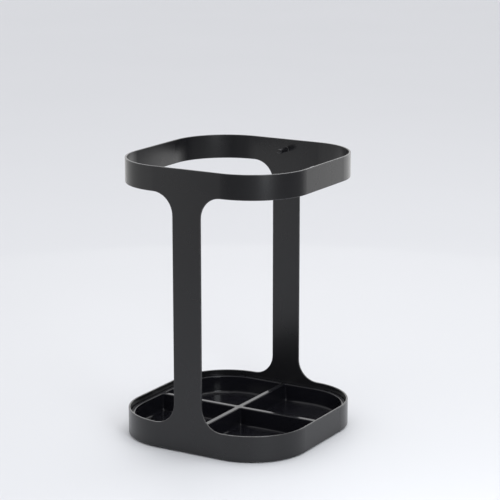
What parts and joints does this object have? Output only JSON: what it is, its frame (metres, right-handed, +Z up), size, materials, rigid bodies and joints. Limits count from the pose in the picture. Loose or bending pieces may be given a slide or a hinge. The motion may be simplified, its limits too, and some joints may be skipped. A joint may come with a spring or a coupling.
{
  "type": "umbrella stand",
  "caption": "Open steel umbrella stand with a rounded-square rim and foot band, flat uprights, inner hanging pegs and a lift-out drip tray with divided pockets.",
  "frame": {"origin": "floor level under the centre of the stand, on the plane that the feet rest on", "axes": "+Z up, +X to the right across the open sides, the front upright faces -Y"},
  "size_m": [0.31, 0.31, 0.45],
  "materials": {
    "frame_coat": "fine satin black powder coat on steel",
    "tray_plastic": "polished black moulded plastic",
    "foot_rubber": "matt black rubber pad"
  },
  "bodies": {
    "frame": {"frame_half_front": "frame_coat", "frame_half_rear": "frame_coat", "base_plate": "frame_coat", "plate_welds": "frame_coat", "hanging_peg_front": "frame_coat", "hanging_peg_rear": "frame_coat", "foot_front_left": "foot_rubber", "foot_front_right": "foot_rubber", "foot_rear_left": "foot_rubber", "foot_rear_right": "foot_rubber"},
    "tray": {"drip_tray": "tray_plastic"}
  },
  "joints": [
    {"name": "tray_lift", "type": "slide", "parent": "frame", "child": "tray", "axis": [0, 0, 1], "range_m": [0, 0.06]}
  ]
}
